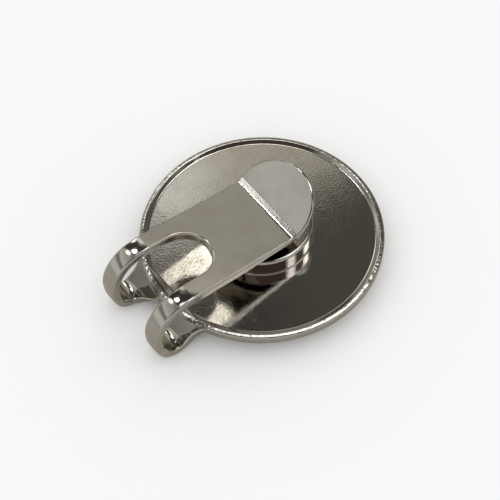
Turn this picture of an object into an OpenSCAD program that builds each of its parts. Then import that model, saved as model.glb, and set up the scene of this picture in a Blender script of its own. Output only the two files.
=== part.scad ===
// Golf cap clip with a magnetic ball marker.
// The clip lies on the marker's face: +X runs from the bend along the spring leaf, +Z is up,
// and the origin is on the disc's axis at the marker's face.

/* [Disc] */
// Diameter of the clip's round disc
disc_d = 30; // [28:0.5:34]
// Thickness of the disc's recessed floor
floor_t = 0.85; // [0.7:0.05:1]
// Thickness of the disc at its raised rim
rim_t = 1.2; // [1.1:0.05:1.4]
// Width of the raised rim
rim_w = 1.2; // [0.9:0.1:1.8]

/* [Sheet] */
// Thickness of the sheet at the bend and along the leaf
sheet_t = 1.2; // [1:0.05:1.3]
// Thickness of the leaf at its crease
crease_t = 0.7; // [0.6:0.05:0.9]
// Thickness of the round tip
tip_t = 0.6; // [0.5:0.05:0.8]

/* [Bend] */
// How far the bend reaches from the disc's axis
bend_reach = 19.6; // [19.2:0.1:21]
// Outer radius of the bend's upper half
upper_r = 4.7; // [4.5:0.05:4.9]
// Outer radius of the bend's lower half
lower_r = 2.7; // [2.6:0.05:2.9]
// Height of the bend's hinge line over the marker's face
hinge_z = 3.6; // [3.5:0.05:3.8]
// Slope of the neck that rises from the bend to the disc, in degrees
neck_slope = 30; // [28:1:34]
// Half width of the neck and the lower bend
neck_half_w = 5.9; // [5.6:0.1:6.4]

/* [Leaf] */
// Half width of the spring leaf
leaf_half_w = 5.45; // [5.2:0.05:5.45]
// Downward slope of the leaf towards its crease, in degrees
leaf_slope = 7.2; // [6.8:0.1:8.5]
// Distance of the crease past the disc's axis
crease_x = 0.6; // [0:0.1:2]
// Distance before the crease at which the leaf starts to get thinner
thin_l = 7; // [5:0.5:9]
// Upward tilt of the round tip, in degrees
tip_tilt = 32; // [24:1:38]
// Radius of the round tip
tip_r = 5.6; // [5.5:0.05:5.8]
// Distance from the crease to the centre of the round tip
tip_offset = 0.6; // [0.3:0.1:1]

/* [Slot] */
// Half width of the slot in the leaf
slot_half_w = 3.15; // [2.8:0.05:3.3]
// Half width of the slot in the lower bend and the neck
slot_low_half_w = 2.75; // [2.5:0.05:3]
// Distance from the disc's axis to the slot's end in the leaf
slot_leaf_end = 8; // [7.5:0.1:9]
// Distance from the disc's axis to the slot's end in the neck
slot_neck_end = 15.1; // [15.05:0.05:15.3]

/* [Magnet] */
// Outer radius of the magnet's cup
cup_r = 6.3; // [6:0.1:7]
// Height of the cup over the disc's floor
cup_h = 2.5; // [2.2:0.05:2.6]
// Wall thickness of the cup
cup_wall = 0.5; // [0.4:0.05:0.6]
// Clearance between the magnet and its cup
magnet_gap = 0.08; // [0.05:0.01:0.12]

/* [Marker] */
// Diameter of the marker coin
coin_d = 25; // [24:0.5:27]
// Thickness of the marker coin
coin_t = 2; // [1.8:0.1:2.4]
// Width of the metal border around the enamel
coin_border = 1.3; // [1:0.1:2]
// Depth of the enamel
enamel_t = 0.4; // [0.3:0.05:0.6]

/* [Hidden] */
$fn = 96;
disc_r = disc_d / 2;
coin_r = coin_d / 2;
floor_z = coin_t + floor_t;
rim_z = coin_t + rim_t;
edge_break = 0.12;       // chamfer on sheared edges
rim_slope = 0.4;         // share of the rim's width taken by its sloping inner side
overlap = 0.01;          // lets joined solids share a little volume
arc_steps = 20;          // straight runs that an arc in an outline is drawn with

hinge_x = -bend_reach + sheet_t / 2;
hinge_gap = 0.2;         // running gap around the hinge line
flat_h = 1.1;            // straight height between the two halves of the bend
upper_x = -bend_reach + upper_r;
upper_z = hinge_z + flat_h / 2;
lower_x = -bend_reach + lower_r;
lower_z = hinge_z - flat_h / 2;

// where the leaf leaves the upper bend, on its top face
leaf_x = upper_x + upper_r * sin(leaf_slope);
leaf_z = upper_z + upper_r * cos(leaf_slope);
crease_z = leaf_z - (crease_x - leaf_x) * tan(leaf_slope);

far = 60;                // longer than anything in the model

// Draws an XZ outline as a solid that spans half_w on both sides of Y = 0.
module across(half_w) {
    rotate([90, 0, 0]) linear_extrude(height = 2 * half_w, center = true) children();
}

// Draws a YZ outline as a solid along X, from x0 to x1.
module along(x0, x1) {
    translate([x0, 0, 0]) rotate([90, 0, 90]) linear_extrude(height = x1 - x0) children();
}

// Points along an arc round c, from angle a0 to a1.
function arc(c, r, a0, a1) = [for (i = [0:arc_steps]) let (a = a0 + (a1 - a0) * i / arc_steps)
    [c[0] + r * cos(a), c[1] + r * sin(a)]];

// The disc's own outline, turned around the axis: floor, sloping step, rim and broken edges.
module disc_outline() {
    rim_x = disc_r - rim_w;
    crest_x = rim_x + rim_w * rim_slope;
    polygon([[0, coin_t], [disc_r - edge_break, coin_t], [disc_r, coin_t + edge_break],
             [disc_r, rim_z - edge_break], [disc_r - edge_break, rim_z], [crest_x, rim_z],
             [rim_x, floor_z], [0, floor_z]]);
}

// Side view of the neck and the lower half of the bend, with a round seat at the hinge line.
// The neck's faces rise until they run into the disc.
module base_profile() {
    centre = [lower_x, lower_z];
    seat_r = sheet_t / 2 + hinge_gap;
    seat_angle = acos(sheet_t / 2 / seat_r);
    low = arc(centre, lower_r, 180, 270 + neck_slope);
    high = arc(centre, lower_r - sheet_t, 270 + neck_slope, 180);
    low_end = low[arc_steps];
    high_end = high[0];
    low_z = coin_t + floor_t / 4;
    high_z = floor_z - floor_t / 4;
    polygon(concat(
        arc([hinge_x, hinge_z], seat_r, 360 - seat_angle, 180 + seat_angle),
        low,
        [[low_end[0] + (low_z - low_end[1]) / tan(neck_slope), low_z],
         [high_end[0] + (high_z - high_end[1]) / tan(neck_slope), high_z]],
        high));
}

// Sides of the lower bend: the legs grow wider towards the neck.
module base_sides(half_top, half_low) {
    flare_z = coin_t / 2;
    polygon([[-half_low, -far], [half_low, -far], [half_low, flare_z], [half_top, hinge_z],
             [half_top, far], [-half_top, far], [-half_top, hinge_z], [-half_low, flare_z]]);
}

// Slot through the neck and the lower bend, open towards the bend's outside.
module base_slot() {
    end_x = -slot_neck_end - slot_low_half_w;
    along(-far, end_x) base_sides(slot_half_w, slot_low_half_w);
    translate([end_x, 0, -far]) cylinder(r = slot_low_half_w, h = 2 * far);
}

// Neck and lower half of the bend.
module base_loop() {
    difference() {
        intersection() {
            across(2 * neck_half_w) base_profile();
            along(-far, 0) base_sides(leaf_half_w, neck_half_w);
        }
        base_slot();
    }
}

module clip_base() color("silver") {
    difference() {
        rotate_extrude() disc_outline();
        translate([0, 0, coin_t - 1]) cylinder(r = cup_r - cup_wall, h = rim_t + 2);
    }
    base_loop();
}

// Side view of the spring leaf: the upper half of the bend, its rounded nose on the hinge line,
// the straight leaf that gets thinner towards the crease, and the tip that flares up past it.
module leaf_profile() {
    centre = [upper_x, upper_z];
    crease = [crease_x, crease_z];
    along_tip = [cos(tip_tilt), sin(tip_tilt)];
    down_tip = [sin(tip_tilt), -cos(tip_tilt)];
    back_leaf = [-cos(leaf_slope), sin(leaf_slope)];
    down_leaf = [-sin(leaf_slope), -cos(leaf_slope)];
    tip_len = 2 * tip_r;
    polygon(concat(
        arc(centre, upper_r, 90 - leaf_slope, 180),
        arc([hinge_x, hinge_z], sheet_t / 2, 180, 360),
        arc(centre, upper_r - sheet_t, 180, 90 - leaf_slope),
        [crease + back_leaf * thin_l + down_leaf * sheet_t,
         crease - [0, crease_t],
         crease + down_tip * tip_t + along_tip * tip_offset,
         crease + down_tip * tip_t + along_tip * tip_len,
         crease + along_tip * tip_len,
         crease]));
}

// The leaf seen from above: straight sides, a small shoulder at the crease and the round tip,
// foreshortened by its tilt.
module leaf_plan() {
    shoulder_angle = acos(-tip_offset / tip_r);
    slot_x = -slot_leaf_end - slot_half_w;
    difference() {
        polygon(concat(
            [[-far, -leaf_half_w], [crease_x, -leaf_half_w]],
            [for (p = arc([tip_offset, 0], tip_r, -shoulder_angle, shoulder_angle))
                [crease_x + p[0] * cos(tip_tilt), p[1]]],
            [[crease_x, leaf_half_w], [-far, leaf_half_w]]));
        polygon(concat(arc([slot_x, 0], slot_half_w, -90, 90), [[-far, slot_half_w], [-far, -slot_half_w]]));
    }
}

module spring_leaf() color("silver") {
    intersection() {
        across(2 * tip_r) leaf_profile();
        linear_extrude(height = far) leaf_plan();
    }
}

module magnet_cup() color("gainsboro") {
    translate([0, 0, floor_z]) difference() {
        union() {
            cylinder(r = cup_r, h = cup_h - edge_break);
            translate([0, 0, cup_h - edge_break]) cylinder(r1 = cup_r, r2 = cup_r - edge_break, h = edge_break);
        }
        translate([0, 0, -overlap]) cylinder(r = cup_r - cup_wall, h = cup_h - cup_wall + overlap);
    }
}

module magnet() color("dimgray") {
    bottom_z = coin_t + magnet_gap;
    top_z = floor_z + cup_h - cup_wall - magnet_gap;
    translate([0, 0, bottom_z]) cylinder(r = cup_r - cup_wall - magnet_gap, h = top_z - bottom_z);
}

module marker_coin() color("silver") {
    difference() {
        rotate_extrude() polygon([[0, 0], [coin_r - edge_break, 0], [coin_r, edge_break],
                                  [coin_r, coin_t - edge_break], [coin_r - edge_break, coin_t], [0, coin_t]]);
        translate([0, 0, -overlap]) cylinder(r = coin_r - coin_border, h = enamel_t + overlap);
    }
}

module marker_enamel() color("darkgreen") {
    cylinder(r = coin_r - coin_border, h = enamel_t);
}

clip_base();
spring_leaf();
magnet_cup();
magnet();
marker_coin();
marker_enamel();
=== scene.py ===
import math
import bmesh
import bpy
from mathutils import Matrix, Vector
from mathutils.kdtree import KDTree


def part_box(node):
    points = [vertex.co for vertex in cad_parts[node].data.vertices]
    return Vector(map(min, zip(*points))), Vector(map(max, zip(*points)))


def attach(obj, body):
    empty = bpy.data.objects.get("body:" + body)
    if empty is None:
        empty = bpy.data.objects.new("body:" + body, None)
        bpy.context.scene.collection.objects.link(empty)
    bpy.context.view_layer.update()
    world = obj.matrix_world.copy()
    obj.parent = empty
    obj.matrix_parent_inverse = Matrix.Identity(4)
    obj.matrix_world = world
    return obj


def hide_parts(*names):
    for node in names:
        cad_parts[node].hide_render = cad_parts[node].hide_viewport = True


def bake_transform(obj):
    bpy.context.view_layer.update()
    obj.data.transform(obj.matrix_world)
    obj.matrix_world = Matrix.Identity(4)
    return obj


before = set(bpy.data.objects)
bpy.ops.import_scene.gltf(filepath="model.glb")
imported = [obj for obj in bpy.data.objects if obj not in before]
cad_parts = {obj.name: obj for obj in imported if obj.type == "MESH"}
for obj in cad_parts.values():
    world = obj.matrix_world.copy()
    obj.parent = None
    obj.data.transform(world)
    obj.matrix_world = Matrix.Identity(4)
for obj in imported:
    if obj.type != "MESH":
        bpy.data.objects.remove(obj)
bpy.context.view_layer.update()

MM = 0.001


def box_mm(node):
    """Lowest and highest corner of a CAD node, in millimetres."""
    low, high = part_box(node)
    return low / MM, high / MM


_, base_hi = box_mm("clip_base")
leaf_lo, _ = box_mm("spring_leaf")
cup_lo, cup_hi = box_mm("magnet_cup")
magnet_lo, magnet_hi = box_mm("magnet")
coin_lo, coin_hi = box_mm("marker_coin")
enamel_lo, enamel_hi = box_mm("marker_enamel")

# ---------------------------------------------------------------- sizes, in millimetres and degrees
# the disc
DISC_R = base_hi.x
DISC_Z = coin_hi.z              # underside
FLOOR_Z = cup_lo.z              # recessed floor
RIM_T = 1.2                     # thickness at the raised rim
RIM_Z = DISC_Z + RIM_T
RIM_FALL = 0.08                 # how much lower the rim is at its outside
CREST_R, FOOT_R = 14.45, 13.95  # top and foot of the rim's inner side
UNDER_FILLET, RIM_FILLET, FOOT_FILLET = 0.12, 0.3, 0.4
CUP_WALL = 0.5
HOLE_R = cup_hi.x - CUP_WALL

# the sheet
SHEET_T = 1.2
CREASE_T = 0.7
THIN_L = 7.0                    # length over which the leaf thins before its crease
TIP_T = 0.6
TIP_THIN_L = 1.5                # length over which the tip thins past the crease
EDGE_R = 0.25                   # rounding of the sheared edges
CROWN = 0.07                    # how far the legs' faces fall off towards their edges
CROWN_END = 1.4                 # the crown stops at so many half widths from a leg's middle
SKEW = 0.03                     # the fold is pressed askew: its shift for each millimetre of width

# the sheet's side view
REACH = -leaf_lo.x              # outside of the bend
UPPER_R, LOWER_R = 4.7, 2.7
HINGE_Z, FLAT_H = 3.6, 1.1
NECK_SLOPE, LEAF_SLOPE, TIP_TILT = 30.0, 7.2, 32.0
NECK_L = 3.0                    # straight stretch of the neck that runs into the disc
EASE_TURN, EASE_L = 9.0, 1.57   # the upper bend ends in a slacker stretch: its turn and length
KINK_TURN, KINK_L = 5.0, 0.25   # and then in a short tight one
EASE_RISE = 0.13                # what these two add to the leaf's height
CREASE_X = 0.6
CREASE_R = (1.2, 0.6)           # bend radii on the two sides of the pressed land in the crease
LAND_TURN, LAND_L = 23.0, 0.5   # how far the leaf has turned at the land, and the land's length
CREASE_CUT = 0.5                # leaf length taken by the crease
TIP_SPARE = 0.01                # straight run past the tip's end

# the sheet's outline
LEAF_W, NECK_W = 5.45, 5.9      # half widths
TIP_R, TIP_OFFSET = 5.6, 0.6
SHOULDER = 0.12                 # leaf length between its straight side and the round tip
SLOT_W, SLOT_LOW_W = 3.15, 2.75
SLOT_LEAF_X, SLOT_NECK_X = -8.0, -15.1
NARROW_Z, NARROW_H = 1.3, 1.2   # where the legs start to narrow, and the height that takes them
SLOT_NARROW_Z = 1.0             # where the slot starts to widen
FLARE, FLARE_L = 0.9, 1.0       # how far the neck widens into the disc, and how far out that starts


def spaced(a, b, step):
    """Values from a to b, evenly spaced, both ends included."""
    n = max(1, round(abs(b - a) / step))
    return [a + (b - a) * i / n for i in range(n + 1)]


def smooth(a, b, t):
    """From a to b without a kink as t goes from 0 to 1."""
    t = min(1.0, max(0.0, t))
    return a + (b - a) * t * t * (3 - 2 * t)


def fade(value, start, end):
    """0 up to start and 1 past end, smooth between them. The end may be the lower of the two."""
    return smooth(0, 1, (value - start) / (end - start))


# ---------------------------------------------------------------- the sheet's outer face in the XZ plane
HALVINGS = 60                   # how often a stretch is halved to find a place on it


class Path:
    """A run of straight and round stretches: s is the length along it."""

    def __init__(self, x, z, heading):
        self.parts = []
        self.end = (x, z, math.radians(heading))
        self.length = 0.0

    def run(self, length, turn=0.0):
        """Adds a stretch that turns by so many degrees, left positive, and returns s at its end."""
        x, z, a = self.end
        self.parts.append((self.length, x, z, a, math.radians(turn) / length))
        self.length += length
        self.end = self.at(self.length)
        return self.length

    def at(self, s):
        """Position at s and heading in radians."""
        part = self.parts[0]
        for p in self.parts:
            if s >= p[0] - 1e-9:
                part = p
        s0, x, z, a, bend = part
        d = s - s0
        if abs(bend) < 1e-9:
            return x + d * math.cos(a), z + d * math.sin(a), a
        b = a + bend * d
        return x + (math.sin(b) - math.sin(a)) / bend, z - (math.cos(b) - math.cos(a)) / bend, b

    def where_x(self, x, low, high):
        """s between low and high at which the path is at x."""
        rising = self.at(high)[0] > self.at(low)[0]
        for _ in range(HALVINGS):
            mid = (low + high) / 2
            if (self.at(mid)[0] < x) == rising:
                low = mid
            else:
                high = mid
        return (low + high) / 2


slope = math.radians(LEAF_SLOPE)
upper_x, upper_z = -REACH + UPPER_R, HINGE_Z + FLAT_H / 2
leaf_x, leaf_z = upper_x + UPPER_R * math.sin(slope), upper_z + UPPER_R * math.cos(slope)
crease_z = leaf_z - (CREASE_X - leaf_x) * math.tan(slope)

neck_a = math.radians(270 + NECK_SLOPE)
neck_x = -REACH + LOWER_R + LOWER_R * math.cos(neck_a)
neck_z = HINGE_Z - FLAT_H / 2 + LOWER_R * math.sin(neck_a)
sheet = Path(neck_x + NECK_L * math.cos(math.radians(NECK_SLOPE)),
             neck_z + NECK_L * math.sin(math.radians(NECK_SLOPE)), 180 + NECK_SLOPE)
s_lower = sheet.run(NECK_L)
s_straight = sheet.run(LOWER_R * math.radians(90 + NECK_SLOPE), -(90 + NECK_SLOPE))
s_upper = sheet.run(FLAT_H - EASE_RISE)
tight_turn = 90 + LEAF_SLOPE - EASE_TURN - KINK_TURN
sheet.run(UPPER_R * math.radians(tight_turn), -tight_turn)
sheet.run(EASE_L, -EASE_TURN)
s_leaf = sheet.run(KINK_L, -KINK_TURN)
s_crease = sheet.run(math.hypot(CREASE_X - sheet.end[0], crease_z - sheet.end[1]) - CREASE_CUT)
s_land = sheet.run(CREASE_R[0] * math.radians(LAND_TURN), LAND_TURN)
s_land_end = sheet.run(LAND_L)
last_turn = LEAF_SLOPE + TIP_TILT - LAND_TURN
s_tip = sheet.run(CREASE_R[1] * math.radians(last_turn), last_turn)
tip_centre = s_tip - CREASE_CUT + TIP_OFFSET
sheet.run(tip_centre + TIP_R - s_tip + TIP_SPARE)


def thickness(s):
    """Thickness of the sheet at s: even round the bend, thinner towards the crease."""
    if s < s_crease - THIN_L:
        return SHEET_T
    if s < s_crease:
        return SHEET_T + (CREASE_T - SHEET_T) * (s - s_crease + THIN_L) / THIN_L
    return CREASE_T + (TIP_T - CREASE_T) * min(1.0, (s - s_crease) / TIP_THIN_L)


def crown(s, y):
    """How far the outer and inner faces of a leg fall off at y, and the slope there."""
    share = fade(s, 2, 4) * fade(s, s_leaf + 1, s_leaf - 2)
    half = (LEAF_W - SLOT_W) / 2
    t = (abs(y) - (LEAF_W + SLOT_W) / 2) / half
    if abs(t) > CROWN_END:
        return 0.0, 0.0
    return CROWN * share * t * t, CROWN * share * 2 * t / half * (1 if y > 0 else -1)


def skew(s, y):
    """How far the crease and the tip lie past their place."""
    return SKEW * (y + LEAF_W) * fade(s, s_crease - 4, s_crease) * fade(s, s_tip + 6, s_tip + 1)


# ---------------------------------------------------------------- the sheet's outline, unrolled: (s, y)
s_flare = sheet.where_x(-math.sqrt(DISC_R ** 2 - NECK_W ** 2) - FLARE_L, 0.0, s_lower)


def half_width(s):
    """Half width of the legs and the neck, up to the leaf."""
    if s > s_upper:
        return LEAF_W
    z = sheet.at(s)[1]
    w = smooth(NECK_W, LEAF_W, (z - NARROW_Z) / NARROW_H) if s > s_lower else NECK_W
    if s < s_flare:
        w += FLARE * (1 - s / s_flare) ** 2
    return w


def arc(s, radius, start, end, step):
    """Points round (s, 0), from one angle to another, in degrees."""
    angles = spaced(math.radians(start), math.radians(end), math.radians(step))
    return [(s + radius * math.cos(a), radius * math.sin(a)) for a in angles]


def outer_outline():
    """The neck, the legs' outer sides, the leaf and the round tip."""
    upper = [(s, half_width(s)) for s in spaced(0, s_leaf, 0.25)]
    upper += [(s, LEAF_W) for s in spaced(s_leaf, tip_centre - TIP_OFFSET - SHOULDER, 1.0)[1:]]
    shoulder = 180 - math.degrees(math.acos(TIP_OFFSET / TIP_R))
    upper += arc(tip_centre, TIP_R, shoulder, 0, 2.5)
    return upper + [(s, -y) for s, y in reversed(upper[:-1])]


def slot_outline():
    """Slot with round ends, wider in the leaf than in the neck, run the other way round."""
    s_a = sheet.where_x(SLOT_LEAF_X, s_leaf, s_crease) - SLOT_W
    s_b = sheet.where_x(SLOT_NECK_X, 0.0, s_straight) + SLOT_LOW_W
    far = arc(s_a, SLOT_W, 90, -90, 4)
    near = arc(s_b, SLOT_LOW_W, -90, -270, 4)
    side = []
    for s in spaced(s_a, s_b, 0.3)[1:-1]:
        rise = (sheet.at(s)[1] - SLOT_NARROW_Z) / (HINGE_Z - SLOT_NARROW_Z)
        side.append((s, SLOT_W if s > s_upper else smooth(SLOT_LOW_W, SLOT_W, rise)))
    return far + [(s, -y) for s, y in side] + near + side[::-1]


def signed_area(loop):
    """Area inside a loop, positive if it runs counterclockwise."""
    return sum(a[0] * b[1] - b[0] * a[1] for a, b in zip(loop, loop[1:] + loop[:1])) / 2


def outward(loop, hole):
    """Unit vectors out of the sheet at each point of a loop."""
    turn = 1 if (signed_area(loop) > 0) != hole else -1
    out = []
    for i, p in enumerate(loop):
        before = (Vector(p) - Vector(loop[i - 1])).normalized()
        after = (Vector(loop[(i + 1) % len(loop)]) - Vector(p)).normalized()
        d = (before + after).normalized()
        out.append(Vector((d.y, -d.x)) * turn)
    return out


# ---------------------------------------------------------------- the sheet's mesh
# "aim" is a layer with the exact normal at each vertex. The flat sheet lies between heights 0 and -1,
# and its real thickness comes when it is laid along the path.
ROUND_STEPS = 4
KINK_STEP = 0.05
SAME_CUT = 1e-5
LEG_ROWS = (3.5, 3.9, 4.3, 4.7, 5.1)    # half widths at which the legs' faces are cut for their crown


def edge_rings(bm, aim, loop, hole):
    """Rings of vertices round one outline, from its top face over the rounded edges to its underside."""
    normals = outward(loop, hole)
    rings = []
    for side in (1, -1):
        made = []
        for k in range(ROUND_STEPS + 1):
            a = math.pi / 2 * (1 - k / ROUND_STEPS)
            deep = EDGE_R * (1 - math.sin(a))
            ring = []
            for p, n in zip(loop, normals):
                q = Vector(p) - n * EDGE_R * (1 - math.cos(a))
                v = bm.verts.new((q.x, q.y, -deep if side == 1 else -1 + deep))
                v[aim] = (n.x * math.cos(a), n.y * math.cos(a), side * math.sin(a))
                ring.append(v)
            made.append(ring)
        rings += made if side == 1 else made[::-1]
    return rings


def flat_sheet(bm, aim):
    """Walls round both outlines, and a face between them on top and below."""
    tops, undersides = [], []
    for loop, hole in ((outer_outline(), False), (slot_outline(), True)):
        rings = edge_rings(bm, aim, loop, hole)
        tops.append(rings[0])
        undersides.append(rings[-1])
        for upper, lower in zip(rings, rings[1:]):
            for i in range(len(upper)):
                j = (i + 1) % len(upper)
                bm.faces.new((upper[i], upper[j], lower[j], lower[i]))
    for pair in (tops, undersides):
        edges = [bm.edges.get((ring[i - 1], ring[i])) for ring in pair for i in range(len(ring))]
        bmesh.ops.triangle_fill(bm, edges=edges, use_beauty=True)


def cut(bm, geom, place, normal):
    """Adds edges where these elements cross a plane."""
    bmesh.ops.bisect_plane(bm, geom=geom, dist=SAME_CUT, plane_co=place, plane_no=normal)


def cut_rows(bm):
    """Cuts the flat sheet across, finely where it bends, and the legs' faces along."""
    stretches = (
        (0, s_lower, 0.3), (s_lower, s_straight, 0.16), (s_straight, s_upper, 0.22), (s_upper, s_leaf, 0.22),
        (s_leaf, s_crease, 1.0), (s_leaf - KINK_L - KINK_STEP, s_leaf - KINK_STEP, KINK_STEP),
        (s_crease, s_land, 0.05), (s_land, s_land_end, 0.1), (s_land_end, s_tip, 0.045),
        (s_tip, s_tip + 1.2, 0.2))
    for start, end, step in stretches:
        for s in spaced(start, end, step)[1:]:
            cut(bm, bm.verts[:] + bm.edges[:] + bm.faces[:], (s, 0, 0), (1, 0, 0))
    for y in LEG_ROWS:
        for side in (1, -1):
            near = [f for f in bm.faces if abs(f.normal.z) > 0.9 and f.calc_center_median().x < s_leaf + 2]
            geom = near + list({e for f in near for e in f.edges}) + list({v for f in near for v in f.verts})
            cut(bm, geom, (0, side * y, 0), (0, 1, 0))


def lay_along_path(bm, aim):
    """Moves every vertex of the flat sheet, and its normal, to its place on the bent one."""
    down_leaf = Vector((math.cos(slope), 0, -math.sin(slope)))
    for v in bm.verts:
        s, y, q = v.co
        on_top = q > -0.5
        x, z, a = sheet.at(s)
        fall, lean = crown(s, y)
        deep = -q + fall if on_top else thickness(s) - (q + 1) - fall
        n = v[aim] if v[aim].length > 0.5 else Vector((0, 0, 1 if on_top else -1))
        n = n + Vector((0, lean * abs(n.z), 0))
        along, up = Vector((math.cos(a), 0, math.sin(a))), Vector((-math.sin(a), 0, math.cos(a)))
        v[aim] = (along * n[0] + Vector((0, 1, 0)) * n[1] + up * n[2]).normalized()
        v.co = (Vector((x, 0, z)) + down_leaf * skew(s, y) - up * deep + Vector((0, y, 0))) * MM


def finished(bm, name):
    """The mesh that was built, with every face turned outward."""
    bmesh.ops.recalc_face_normals(bm, faces=bm.faces)
    mesh = bpy.data.meshes.new(name)
    bm.to_mesh(mesh)
    bm.free()
    return mesh


def sheet_mesh(name):
    """The bent sheet with rounded edges: flat first, cut into rows, then laid along the path."""
    bm = bmesh.new()
    aim = bm.verts.layers.float_vector.new("aim")
    flat_sheet(bm, aim)
    cut_rows(bm)
    lay_along_path(bm, aim)
    return finished(bm, name)


# ---------------------------------------------------------------- turned shapes
ON_AXIS = 1e-6                  # millimetres


def axis_normal(loop, i, orient):
    """Normal where an outline meets the axis: straight up or down."""
    after = loop[(i + 1) % len(loop)]
    d = after - loop[i] if after.x > ON_AXIS else loop[i] - loop[i - 1]
    return Vector((0, -1 if d.x * orient > 0 else 1))


def rounded(corners, segments=4):
    """An outline of (r, z, fillet radius) corners, as (point, outward normal) pairs with each fillet drawn.
    A corner with no fillet has no normal of its own, because it is sharp, unless it is on the axis."""
    loop = [Vector(c[:2]) for c in corners]
    orient = 1 if signed_area(loop) > 0 else -1
    out = []
    for i, (r, z, fillet) in enumerate(corners):
        p = loop[i]
        if fillet <= 0:
            out.append((p, axis_normal(loop, i, orient) if r < ON_AXIS else None))
            continue
        before, after = (p - loop[i - 1]).normalized(), (loop[(i + 1) % len(loop)] - p).normalized()
        turn = math.atan2(before.x * after.y - before.y * after.x, before.dot(after))
        reach = fillet * math.tan(abs(turn) / 2)
        side = 1 if turn > 0 else -1
        centre = p - before * reach + Vector((-before.y, before.x)) * fillet * side
        for k in range(segments + 1):
            c, s = math.cos(turn * k / segments), math.sin(turn * k / segments)
            normal = Vector((before.x * s + before.y * c, before.y * s - before.x * c))
            out.append((centre + normal * fillet * side, normal * orient))
    return out


def turned_mesh(name, profile, steps):
    """A closed outline turned round the Z axis. One that starts and ends on the axis is closed by it."""
    bm = bmesh.new()
    aim = bm.verts.layers.float_vector.new("aim")
    rings = []
    for p, n in profile:
        ring = []
        for i in range(1 if p.x < ON_AXIS else steps):
            a = 2 * math.pi * i / steps
            v = bm.verts.new((p.x * math.cos(a) * MM, p.x * math.sin(a) * MM, p.y * MM))
            if n is not None:
                v[aim] = (n.x * math.cos(a), n.x * math.sin(a), n.y)
            ring.append(v)
        rings.append(ring)
    pairs = list(zip(rings, rings[1:])) + ([(rings[-1], rings[0])] if len(rings[0]) > 1 else [])
    for a, b in pairs:
        for i in range(steps):
            j = (i + 1) % steps
            corners = [a[i % len(a)], a[j % len(a)], b[j % len(b)], b[i % len(b)]]
            bm.faces.new([v for k, v in enumerate(corners) if v not in corners[:k]])
    return finished(bm, name)


# ---------------------------------------------------------------- exact normals
AIM_MIN = 0.7                   # how near a stored normal has to be to a face's own to be used on it
SAME_NORMAL = 0.9998            # two faces whose normals agree this well at an edge are smooth across it
SAME_PLACE = 1e-7               # metres


def layer_aims(mesh):
    """The exact normal stored at each vertex of a mesh; a zero vector where there is none."""
    values = [0.0] * (3 * len(mesh.vertices))
    mesh.attributes["aim"].data.foreach_get("vector", values)
    return [Vector(values[i:i + 3]) for i in range(0, len(values), 3)]


def matched_aims(mesh, sources):
    """Exact normals for a mesh cut from others, found by place. New vertices have none."""
    tree = KDTree(sum(len(m.vertices) for m in sources))
    known = []
    for m in sources:
        for v, aim in zip(m.vertices, layer_aims(m)):
            tree.insert(v.co, len(known))
            known.append(aim)
    tree.balance()
    aims = []
    for v in mesh.vertices:
        _, index, distance = tree.find(v.co)
        aims.append(known[index] if distance < SAME_PLACE else Vector())
    return aims


def set_normals(mesh, aims):
    """Shades the mesh with exact normals, and by face where there is none."""
    normals, at_edge = [], {}
    for face in mesh.polygons:
        face.use_smooth = True
        known = [v for v in face.vertices if aims[v].normalized().dot(face.normal) > AIM_MIN]
        spare = sum((aims[v] for v in known), Vector()).normalized() if known else face.normal.copy()
        own = {v: aims[v].normalized() if v in known else spare for v in face.vertices}
        normals += [own[v] for v in face.vertices]
        for key in face.edge_keys:
            at_edge.setdefault(key, []).append((own[key[0]], own[key[1]]))
    mesh.attributes.remove(mesh.attributes["aim"])
    for edge in mesh.edges:
        sides = at_edge[edge.key]
        edge.use_edge_sharp = len(sides) != 2 or any(a.dot(b) < SAME_NORMAL for a, b in zip(*sides))
    mesh.normals_split_custom_set(normals)


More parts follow.
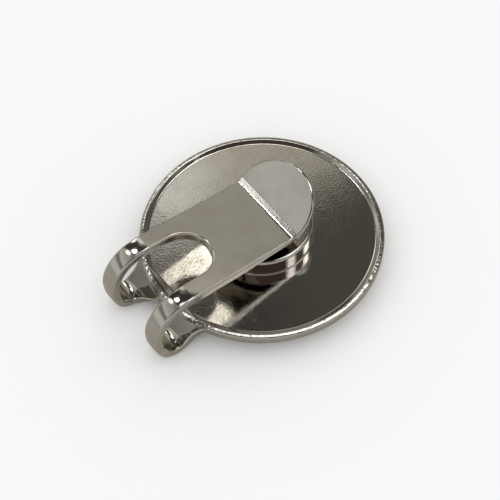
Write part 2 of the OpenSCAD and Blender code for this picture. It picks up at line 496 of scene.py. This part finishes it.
# ---------------------------------------------------------------- shader graphs
class Graph:
    """Short calls that add shader nodes to a tree."""

    def __init__(self, tree):
        self.tree = tree

    def node(self, kind, **settings):
        """A new node with these properties."""
        n = self.tree.nodes.new(kind)
        for key, value in settings.items():
            setattr(n, key, value)
        return n

    def plug(self, socket, value):
        """Links a value from another node, or sets a fixed one."""
        if isinstance(value, bpy.types.NodeSocket):
            self.tree.links.new(value, socket)
        else:
            socket.default_value = value

    def math(self, operation, *values):
        n = self.node("ShaderNodeMath", operation=operation)
        for socket, value in zip(n.inputs, values):
            self.plug(socket, value)
        return n.outputs[0]

    def product(self, first, *others):
        for value in others:
            first = self.math("MULTIPLY", first, value)
        return first

    def split(self, vector):
        """X, Y and Z of a vector."""
        n = self.node("ShaderNodeSeparateXYZ")
        self.plug(n.inputs[0], vector)
        return n.outputs[0], n.outputs[1], n.outputs[2]

    def step(self, value, start, end, low=0.0, high=1.0):
        """Smooth change from low to high as the value goes from start to end."""
        n = self.node("ShaderNodeMapRange", interpolation_type="SMOOTHSTEP")
        names = ("Value", "From Min", "From Max", "To Min", "To Max")
        for key, v in zip(names, (value, start, end, low, high)):
            self.plug(n.inputs[key], v)
        return n.outputs[0]

    def ramp(self, value, stops):
        """Colours placed along a value: stops are (place, grey or rgb), in rising order."""
        start, end = stops[0][0], stops[-1][0]
        n = self.node("ShaderNodeValToRGB")
        elements = n.color_ramp.elements
        for k, (place, colour) in enumerate(stops):
            e = elements[k] if k < 2 else elements.new(1.0)
            e.position = (place - start) / (end - start)
            rgb = colour if isinstance(colour, tuple) else (colour,) * 3
            e.color = (*rgb, 1)
        self.plug(n.inputs[0], self.math("DIVIDE", self.math("SUBTRACT", value, start), end - start))
        return n.outputs[0]

    def mix(self, share, a, b):
        """Colour a where the share is 0, b where it is 1."""
        n = self.node("ShaderNodeMix", data_type="RGBA", clamp_result=False)
        self.plug(n.inputs[0], share)
        for socket, value in ((n.inputs[6], a), (n.inputs[7], b)):
            self.plug(socket, value if isinstance(value, bpy.types.NodeSocket) else (*value, 1))
        return n.outputs[2]

    def noise(self, vector, detail):
        """Noise with features about one unit of the vector wide."""
        n = self.node("ShaderNodeTexNoise")
        self.plug(n.inputs["Vector"], vector)
        self.plug(n.inputs["Scale"], 1)
        self.plug(n.inputs["Detail"], detail)
        return n.outputs[0]


class Material(Graph):
    """A new principled material and its graph."""

    def __init__(self, name):
        self.material = bpy.data.materials.new(name)
        self.material.use_nodes = True
        super().__init__(self.material.node_tree)
        self.shader = self.tree.nodes["Principled BSDF"]
        self.place = self.node("ShaderNodeTexCoord").outputs["Object"]

    def set(self, socket, value):
        self.plug(self.shader.inputs[socket], value)

    def texture(self, size, detail, stretch=(1, 1, 1)):
        """Noise fixed to the piece, with features of so many millimetres."""
        at = self.node("ShaderNodeMapping")
        self.plug(at.inputs["Vector"], self.place)
        self.plug(at.inputs["Scale"], tuple(k / (size * MM) for k in stretch))
        return self.noise(at.outputs[0], detail)

    def zone(self, value, span):
        """0 before the span and 1 past it, for a value in metres and a span (start, end) in millimetres."""
        return self.step(value, span[0] * MM, span[1] * MM)

    def bump(self, *heights):
        """Adds up bumps, given as (height 0..1, depth in millimetres, mask or nothing)."""
        normal = None
        for height, depth, *mask in heights:
            n = self.node("ShaderNodeBump")
            self.plug(n.inputs["Strength"], 1)
            self.plug(n.inputs["Distance"], self.product(mask[0], depth * MM) if mask else depth * MM)
            self.plug(n.inputs["Height"], height)
            if normal is not None:
                self.plug(n.inputs["Normal"], normal)
            normal = n.outputs[0]
        self.set("Normal", normal)


# ---------------------------------------------------------------- materials
WORN = (0.93, 0.92, 0.90)       # how much darker a metal gets in its cloudy places
CLOUD_SIZE, WAVE_SIZE, SCRATCH_SIZE = 2.2, 3.5, 0.12
SCRATCH_STRETCH = (1, 0.04, 0.3)
CLOUD_ROUGH, SCRATCH_ROUGH = 0.6, 0.25  # what these add, as shares of the metal's roughness


class Metal(Material):
    """A polished metal with uneven gloss and fine scratches.
    grain, of so many millimetres, and waves are heights for its bump."""

    def __init__(self, name, rgb, rough, grain_size):
        super().__init__(name)
        self.grain = self.texture(grain_size, 1)
        self.waves = self.texture(WAVE_SIZE, 1)
        scratches = self.texture(SCRATCH_SIZE, 1, SCRATCH_STRETCH)
        clouds = self.texture(CLOUD_SIZE, 3)
        worn_rgb = tuple(c * f for c, f in zip(rgb, WORN))
        self.set("Metallic", 1)
        self.set("Base Color", self.mix(self.step(clouds, 0.3, 0.75), rgb, worn_rgb))
        cloudy = self.math("MULTIPLY", self.step(clouds, 0.35, 0.8), rough * CLOUD_ROUGH)
        scratched = self.math("MULTIPLY", self.step(scratches, 0.68, 0.8), rough * SCRATCH_ROUGH)
        self.gloss = self.math("ADD", self.math("ADD", cloudy, rough), scratched)
        self.set("Roughness", self.gloss)


# grain on the nickel: its depth in millimetres, and its strength in each zone
GRAIN_DEPTH = 0.0062
OPEN_GRAIN, CUT_GRAIN, CREASE_GRAIN, NECK_GRAIN = 0.06, 1.7, 1.3, 1.8
CUT_ROUGH = 0.16                # what the sheared edges add to the roughness
DENT_L, DENT_W, DENT_DEPTH = 0.45, 0.5, 0.08    # dents in the rim: along it, across it, and deep
# where each zone begins and where it is full: heights, radii and X in millimetres
BELOW_LEAF = (3.6, 3.0)
FLOOR_OUT = (14.2, 13.9)
RIM_IN, RIM_OUT, RIM_UP = (14.4, 14.5), (15.1, 15.02), (2.9, 3.0)
NECK_IN, NECK_OUT = (-7, -8), (-14.6, -14.2)
CREASE_NEAR, CREASE_UP = (0.9, 0.5), (4, 5)     # the first is a distance from the crease's middle
CREASE_MIDDLE = CREASE_X + 0.1
PAST_BEND = (-13, -12)
UPRIGHT, SIDEWAYS = (0.75, 0.4), (0.5, 0.7)     # of the face's normal: its share along Z, and along Y


def nickel():
    """The clip's plating: nearly smooth on the leaf, grainy on the disc's floor and most of all towards
    the neck, in the crease and on the sheared edges, and dented along the top of the disc's rim."""
    m = Metal("nickel_plate", (0.63, 0.61, 0.57), 0.05, 0.165)
    x, y, z = m.split(m.place)
    _, facing_y, facing_z = m.split(m.node("ShaderNodeNewGeometry").outputs["Normal"])
    radius = m.math("SQRT", m.math("ADD", m.math("POWER", x, 2.0), m.math("POWER", y, 2.0)))

    low = m.zone(z, BELOW_LEAF)
    on_floor = m.product(low, m.zone(radius, FLOOR_OUT))
    on_rim = m.product(low, m.zone(radius, RIM_IN), m.zone(radius, RIM_OUT), m.zone(z, RIM_UP))
    by_neck = m.product(low, m.zone(x, NECK_IN), m.zone(x, NECK_OUT))
    from_crease = m.math("ABSOLUTE", m.math("SUBTRACT", x, CREASE_MIDDLE * MM))
    in_crease = m.product(m.zone(from_crease, CREASE_NEAR), m.zone(z, CREASE_UP))
    upright = m.step(m.math("ABSOLUTE", facing_z), *UPRIGHT)
    sideways = m.step(m.math("ABSOLUTE", facing_y), *SIDEWAYS)
    on_cut = m.product(upright, m.math("MAXIMUM", sideways, m.zone(x, PAST_BEND)))

    strength = m.math("MAXIMUM", on_floor, OPEN_GRAIN)
    for mask, grain in ((on_cut, CUT_GRAIN), (in_crease, CREASE_GRAIN), (by_neck, NECK_GRAIN)):
        strength = m.math("MAXIMUM", strength, m.product(mask, grain))

    along_rim = m.product(m.math("ARCTAN2", y, x), DISC_R / DENT_L)
    rim_place = m.node("ShaderNodeCombineXYZ")
    m.plug(rim_place.inputs[0], along_rim)
    m.plug(rim_place.inputs[1], m.product(radius, 1 / (DENT_W * MM)))
    dents = m.noise(rim_place.outputs[0], 2)

    m.bump((m.waves, 0.008), (m.grain, GRAIN_DEPTH, strength), (dents, DENT_DEPTH, on_rim))
    m.set("Roughness", m.math("ADD", m.gloss, m.product(on_cut, CUT_ROUGH)))
    return m.material


def cup_steel():
    m = Metal("cup_plate", (0.62, 0.59, 0.55), 0.07, 0.2)
    m.bump((m.waves, 0.006), (m.grain, 0.005))
    return m.material


def coin_steel():
    m = Metal("coin_plate", (0.66, 0.645, 0.61), 0.12, 0.3)
    m.bump((m.waves, 0.004), (m.grain, 0.003))
    return m.material


def magnet_plate():
    m = Metal("magnet_plate", (0.45, 0.45, 0.46), 0.28, 0.12)
    m.bump((m.grain, 0.008))
    return m.material


ENAMEL_FLOW = 3.85              # size of the enamel's uneven places
ENAMEL_DEEP, ENAMEL_PALE = (0.010, 0.085, 0.040), (0.016, 0.12, 0.058)


def green_enamel():
    m = Material("enamel")
    flow = m.texture(ENAMEL_FLOW, 4)
    m.set("Base Color", m.mix(m.step(flow, 0.3, 0.7), ENAMEL_DEEP, ENAMEL_PALE))
    m.set("Roughness", m.step(flow, 0.3, 0.8, 0.08, 0.2))
    m.set("Coat Weight", 0.6)
    m.bump((flow, 0.02))
    return m.material


# ---------------------------------------------------------------- pieces
SOLDER, SOLDER_H = 0.12, 0.04   # width and height of the solder line round the cup's foot
SOLDER_FILLET = 0.05
CUP_FILLET, CUP_INNER_FILLET = 0.35, 0.1
MAGNET_FILLET = 0.15
COIN_FILLET, COIN_FACE_FILLET = 0.2, 0.25
ENAMEL_GAP, ENAMEL_FILLET = 0.02, 0.08
DISC_STEPS, CUP_STEPS, MAGNET_STEPS, COIN_STEPS = 256, 160, 128, 192    # straight runs in a full turn
DISC_SEGMENTS = 6               # straight runs in each of the disc's fillets


def shell(name, mesh):
    """An object in the scene that shows this mesh."""
    o = bpy.data.objects.new(name, mesh)
    bpy.context.scene.collection.objects.link(o)
    return o


def applied(obj, name):
    """The object's mesh with its modifiers applied."""
    bpy.context.view_layer.update()
    mesh = bpy.data.meshes.new_from_object(obj.evaluated_get(bpy.context.evaluated_depsgraph_get()))
    mesh.name = name
    return mesh


def add(name, mesh, material, nodes, body=None, aims=None):
    """Puts a finished mesh into the scene in place of these CAD nodes."""
    set_normals(mesh, aims or layer_aims(mesh))
    obj = shell(name, mesh)
    mesh.materials.append(material)
    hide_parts(*nodes)
    if body:
        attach(obj, body)
    return obj


def add_clip():
    """The disc and the sheet, bent round the hinge, joined into one piece."""
    disc = turned_mesh("disc", rounded([
        (HOLE_R, DISC_Z, 0), (DISC_R, DISC_Z, UNDER_FILLET), (DISC_R, RIM_Z - RIM_FALL, RIM_FILLET),
        (CREST_R, RIM_Z, RIM_FILLET), (FOOT_R, FLOOR_Z, FOOT_FILLET), (HOLE_R, FLOOR_Z, 0)],
        DISC_SEGMENTS), DISC_STEPS)
    strip = sheet_mesh("strip")
    disc_tool, strip_tool = shell("disc_tool", disc), shell("strip_tool", strip)
    union = strip_tool.modifiers.new("union", "BOOLEAN")
    union.operation, union.object, union.solver = "UNION", disc_tool, "EXACT"
    mesh = applied(strip_tool, "clip_sheet")
    aims = matched_aims(mesh, (disc, strip))
    for o in (disc_tool, strip_tool):
        bpy.data.objects.remove(o)
    clip = add("clip_sheet", mesh, nickel(), ["clip_base", "spring_leaf"], aims=aims)
    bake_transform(clip)


def add_turned(name, corners, steps, material, node, body):
    """A turned piece in place of one CAD node."""
    add(name, turned_mesh(name, rounded(corners), steps), material, [node], body)


def add_magnet():
    """The cup, open downwards and soldered to the floor, and the magnet inside it."""
    outside, foot, inside = cup_hi.x, cup_hi.x + SOLDER, cup_hi.x - CUP_WALL
    roof_z = cup_hi.z - CUP_WALL
    add_turned("magnet_cup_shell", [
        (0, cup_hi.z, 0), (outside, cup_hi.z, CUP_FILLET), (outside, cup_lo.z + SOLDER, SOLDER_FILLET),
        (foot, cup_lo.z + SOLDER_H, SOLDER_FILLET), (foot, cup_lo.z, 0), (inside, cup_lo.z, 0),
        (inside, roof_z, CUP_INNER_FILLET), (0, roof_z, 0)],
        CUP_STEPS, cup_steel(), "magnet_cup", "clip")
    add_turned("magnet_disc", [
        (0, magnet_hi.z, 0), (magnet_hi.x, magnet_hi.z, MAGNET_FILLET),
        (magnet_hi.x, magnet_lo.z, MAGNET_FILLET), (0, magnet_lo.z, 0)],
        MAGNET_STEPS, magnet_plate(), "magnet", "clip")


def add_marker():
    """The coin, and the enamel in the recess of its face."""
    add_turned("coin", [
        (0, coin_hi.z, 0), (coin_hi.x, coin_hi.z, COIN_FILLET), (coin_hi.x, coin_lo.z, COIN_FACE_FILLET),
        (enamel_hi.x, coin_lo.z, 0), (enamel_hi.x, enamel_hi.z, 0), (0, enamel_hi.z, 0)],
        COIN_STEPS, coin_steel(), "marker_coin", "marker")
    side = enamel_hi.x - ENAMEL_GAP
    add_turned("coin_enamel", [
        (0, enamel_hi.z, 0), (side, enamel_hi.z, 0), (side, enamel_lo.z, ENAMEL_FILLET),
        (0, enamel_lo.z, 0)], COIN_STEPS, green_enamel(), "marker_enamel", "marker")


add_clip()
add_magnet()
add_marker()

# ---------------------------------------------------------------- floor
FLOOR_R = 600                   # millimetres, like the other two
FLOOR_HOLE = coin_hi.x * 0.97   # open under the coin, so that its face can be seen from below
FLOOR_GAP = 0.02
FLOOR_STEPS = 96
FLOOR_PALE, FLOOR_MIRRORED = (0.97, 0.97, 0.965), (0.46, 0.43, 0.38)


def floor_material():
    """Pale to light and to the eye, browner in the metal's reflections, and clear from below."""
    material = bpy.data.materials.new("floor")
    material.use_nodes = True
    material.node_tree.nodes.clear()
    g = Graph(material.node_tree)

    def diffuse(rgb):
        n = g.node("ShaderNodeBsdfDiffuse")
        n.inputs["Color"].default_value = (*rgb, 1)
        return n.outputs[0]

    def either(share, a, b):
        n = g.node("ShaderNodeMixShader")
        for socket, value in zip(n.inputs, (share, a, b)):
            g.plug(socket, value)
        return n.outputs[0]

    mirrored = g.node("ShaderNodeLightPath").outputs["Is Glossy Ray"]
    from_below = g.node("ShaderNodeNewGeometry").outputs["Backfacing"]
    above = either(mirrored, diffuse(FLOOR_PALE), diffuse(FLOOR_MIRRORED))
    surface = either(from_below, above, g.node("ShaderNodeBsdfTransparent").outputs[0])
    g.plug(g.node("ShaderNodeOutputMaterial").inputs[0], surface)
    return material


def add_floor():
    """A flat ring that stays under the marker."""
    angles = [2 * math.pi * i / FLOOR_STEPS for i in range(FLOOR_STEPS)]
    points = [(r * MM * math.cos(a), r * MM * math.sin(a), -FLOOR_GAP * MM)
              for r in (FLOOR_HOLE, FLOOR_R) for a in angles]
    faces = []
    for i in range(FLOOR_STEPS):
        j = (i + 1) % FLOOR_STEPS
        faces.append((i, i + FLOOR_STEPS, j + FLOOR_STEPS, j))
    mesh = bpy.data.meshes.new("floor")
    mesh.from_pydata(points, [], faces)
    mesh.materials.append(floor_material())
    floor = shell("floor", mesh)
    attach(floor, "marker")


add_floor()

# ---------------------------------------------------------------- studio
# Directions are in degrees: azimuth from +X towards +Y, and elevation.
WARM, SOFT, RED = (1.0, 0.965, 0.84), (1.0, 0.975, 0.92), (1.0, 0.68, 0.62)
EVEN = (0.98, 0.98, 0.98)
# azimuths between which one side of the studio runs into the next
FAR_TO_LEFT, LEFT_TO_NEAR, FAR_TO_RIGHT, RIGHT_TO_NEAR = (93, 108), (165, 179), (35, 27), (-35, -50)
RIGHT_SHIFT = -18               # low down, the right side reaches so much further round
LAMPS = (                       # azimuth, elevation, full within, nothing beyond, colour
    (106.5, 57, 3.5, 6.2, (1.7, 1.7, 1.65)), (85, 63, 2.5, 3.5, (11.8, 12.1, 12.6)),
    (-8, 56, 4, 7, (2.6, 2.6, 2.55)), (72, 45, 4, 7, (2.2, 2.2, 2.15)), (60, 80, 7, 12, (2.2, 2.2, 2.15)),
    (0, 70, 6, 11, (4.0, 4.0, 3.9)), (-58, 58, 4, 7, (1.8, 1.75, 1.8)))


def tint(colour, brightness):
    return tuple(c * brightness for c in colour)


def tinted(colour, *stops):
    """Stops of a ramp in shades of one colour, from (place, brightness)."""
    return [(place, tint(colour, brightness)) for place, brightness in stops]


def far_side(g, azimuth, elevation):
    """The side that the leaf and the floor mirror: light low down, dark above a slanting edge."""
    edge_at = ((36, 46), (42, 50), (46, 52.2), (50, 53), (59, 54.9), (65, 54.9), (70, 44), (130, 44))
    edge = g.product(g.ramp(azimuth, [(place, height / 90) for place, height in edge_at]), 90.0)
    light_high = g.mix(g.step(azimuth, 54.5, 61), tint(WARM, 0.53), tint(SOFT, 0.88))
    light_low = g.ramp(elevation, tinted(WARM, (0, 0.22), (10, 0.26), (28, 0.3), (38, 0.41), (90, 0.41)))
    light = g.mix(g.step(elevation, 47, 50), light_low, light_high)
    shade_low = g.ramp(azimuth, tinted(WARM, (40, 0.085), (56, 0.085), (61, 0.2), (66, 0.2), (71, 0.05),
                                       (130, 0.05)))
    shade_high = g.ramp(azimuth, tinted(WARM, (40, 0.085), (46, 0.085), (55, 0.05), (130, 0.05)))
    shade = g.mix(g.step(elevation, 57.5, 59), shade_low, shade_high)
    return g.mix(g.step(g.math("SUBTRACT", elevation, edge), -1.4, 1.2), light, shade)


def left_side(g, azimuth, elevation):
    """Two pale bands with a darker one between them, toned down high up towards the near side."""
    bands = g.ramp(elevation, tinted(SOFT, (0, 0.42), (8, 0.42), (16, 0.64), (26, 0.66), (34, 0.22),
                                     (39, 0.26), (43, 0.62), (50, 0.5), (59, 0.42), (66, 0.3), (75, 0.2))
                   + tinted(WARM, (90, 0.2)))
    toned_down = g.product(g.step(azimuth, 153, 160), g.step(elevation, 40, 46))
    return g.mix(toned_down, bands, tint(WARM, 0.3))


def near_side(g, elevation):
    """Pale low down, a dark reddish band, and dim overhead."""
    return g.ramp(elevation, tinted(SOFT, (0, 0.5), (30, 0.6), (42, 0.5))
                  + tinted(RED, (50, 0.08), (68, 0.07)) + tinted(WARM, (90, 0.2)))


def right_side(g, elevation):
    return g.ramp(elevation, tinted(WARM, (0, 0.15), (50, 0.1), (90, 0.2)))


def studio_light(g, direction):
    """What the metal mirrors in a direction: four sides that run into each other, and the lamps."""
    x, y, z = g.split(direction)
    degrees = 180 / math.pi
    elevation = g.product(g.math("ARCSINE", z), degrees)
    azimuth = g.product(g.math("ARCTAN2", y, x), degrees)
    far, left = far_side(g, azimuth, elevation), left_side(g, azimuth, elevation)
    near, right = near_side(g, elevation), right_side(g, elevation)
    sky = g.mix(g.step(azimuth, *FAR_TO_LEFT), far, left)
    sky = g.mix(g.step(azimuth, *LEFT_TO_NEAR), sky, near)
    shifted = g.math("ADD", azimuth, g.step(elevation, 38, 28, 0, RIGHT_SHIFT))
    sky = g.mix(g.step(shifted, *FAR_TO_RIGHT), sky, right)
    sky = g.mix(g.step(azimuth, *RIGHT_TO_NEAR), sky, near)
    for lamp_azimuth, lamp_elevation, full, none, colour in LAMPS:
        a, e = math.radians(lamp_azimuth), math.radians(lamp_elevation)
        dot = g.node("ShaderNodeVectorMath", operation="DOT_PRODUCT")
        g.plug(dot.inputs[0], direction)
        g.plug(dot.inputs[1], (math.cos(a) * math.cos(e), math.sin(a) * math.cos(e), math.sin(e)))
        inside = g.step(dot.outputs["Value"], math.cos(math.radians(none)), math.cos(math.radians(full)))
        sky = g.mix(inside, sky, colour)
    return sky


def add_studio():
    """Even white for everything but the metal's reflections, which get the studio's sides and lamps."""
    world = bpy.data.worlds.new("studio")
    bpy.context.scene.world = world
    world.use_nodes = True
    world.cycles.sampling_method = "NONE"
    world.node_tree.nodes.clear()
    g = Graph(world.node_tree)
    mirrored = g.node("ShaderNodeLightPath").outputs["Is Glossy Ray"]
    light = studio_light(g, g.node("ShaderNodeTexCoord").outputs["Generated"])
    backdrop = g.node("ShaderNodeBackground")
    g.plug(backdrop.inputs[0], g.mix(mirrored, EVEN, light))
    g.plug(g.node("ShaderNodeOutputWorld").inputs[0], backdrop.outputs[0])


add_studio()

# ---------------------------------------------------------------- camera
CAM_TARGET = Vector((-2.78, -1.22, 2.85))
CAM_AZ, CAM_EL, CAM_ROLL = -36.36, 56.43, -2.77
CAM_DIST = 110
LENS, SENSOR = 65.47, 36
CLIP = (5, 20000)


def add_camera():
    """Looks down at the clip from the near side, with the bend at the lower left."""
    az, el, roll = (math.radians(v) for v in (CAM_AZ, CAM_EL, CAM_ROLL))
    back = Vector((math.sin(az) * math.cos(el), -math.cos(az) * math.cos(el), math.sin(el)))
    level = Vector((math.cos(az), math.sin(az), 0))
    upward = back.cross(level)
    right = level * math.cos(roll) + upward * math.sin(roll)
    up = upward * math.cos(roll) - level * math.sin(roll)
    camera = bpy.data.objects.new("camera", bpy.data.cameras.new("camera"))
    bpy.context.scene.collection.objects.link(camera)
    camera.location = (CAM_TARGET + back * CAM_DIST) * MM
    camera.rotation_euler = Matrix((right, up, back)).transposed().to_euler()
    camera.data.lens = LENS
    camera.data.sensor_width = SENSOR
    camera.data.clip_start, camera.data.clip_end = (distance * MM for distance in CLIP)
    bpy.context.scene.camera = camera


add_camera()
bpy.context.scene.view_settings.view_transform = "Standard"
